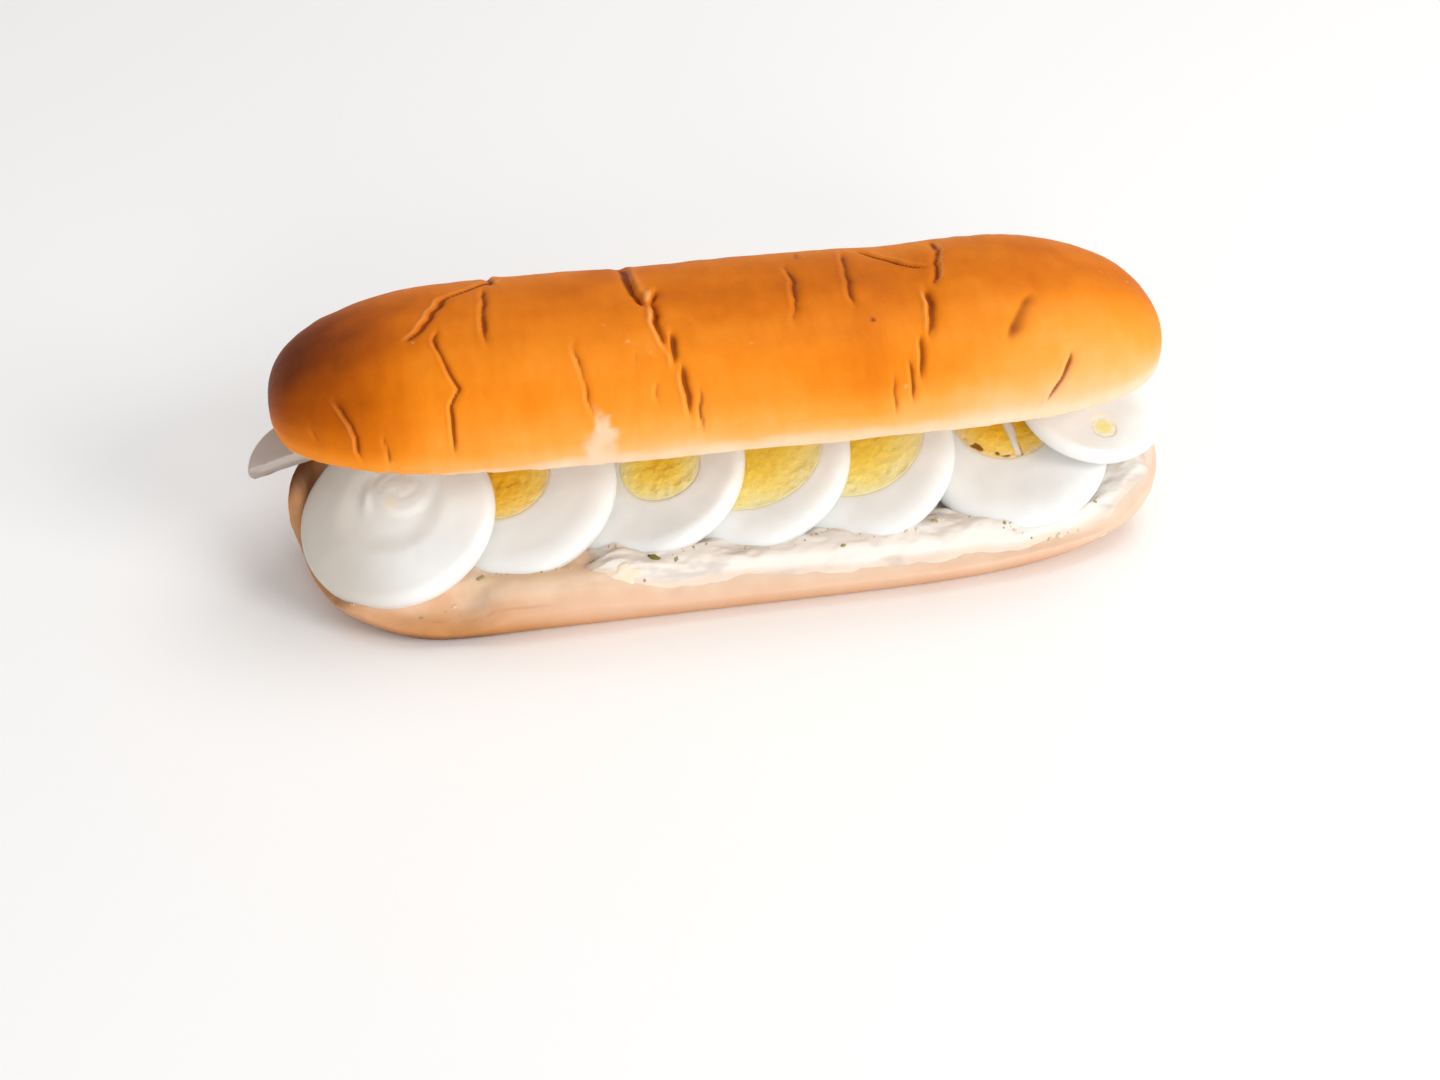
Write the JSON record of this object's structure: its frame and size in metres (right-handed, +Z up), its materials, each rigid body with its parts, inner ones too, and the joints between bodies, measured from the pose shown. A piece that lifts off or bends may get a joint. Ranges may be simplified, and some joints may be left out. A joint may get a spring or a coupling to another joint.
{
  "type": "egg sandwich in a long roll",
  "caption": "Long soft golden roll split along its front and filled with a fanned row of boiled egg slices over white herb spread.",
  "frame": {"origin": "middle of the roll's flat base, on the table", "axes": "+X along the roll to the right, +Y to its closed back, -Y out of the open front, +Z up"},
  "size_m": [0.1891, 0.0632, 0.0566],
  "materials": {
    "crust": "soft baked crust, egg-wash sheen, pale at the cut",
    "egg_white": "moist, smooth",
    "egg_yolk": "dry, fine crumb",
    "spread": "creamy, slightly glossy"
  },
  "bodies": {
    "root": {"bun": "crust", "egg_white_1": "egg_white", "egg_white_2": "egg_white", "egg_white_3": "egg_white", "egg_white_4": "egg_white", "egg_white_5": "egg_white", "egg_white_6": "egg_white", "egg_white_7": "egg_white", "egg_white_8": "egg_white", "egg_yolk_2": "egg_yolk", "egg_yolk_3": "egg_yolk", "egg_yolk_4": "egg_yolk", "egg_yolk_5": "egg_yolk", "egg_yolk_6a": "egg_yolk", "egg_yolk_6b": "egg_yolk", "egg_yolk_7": "egg_yolk", "spread": "spread"}
  },
  "joints": []
}
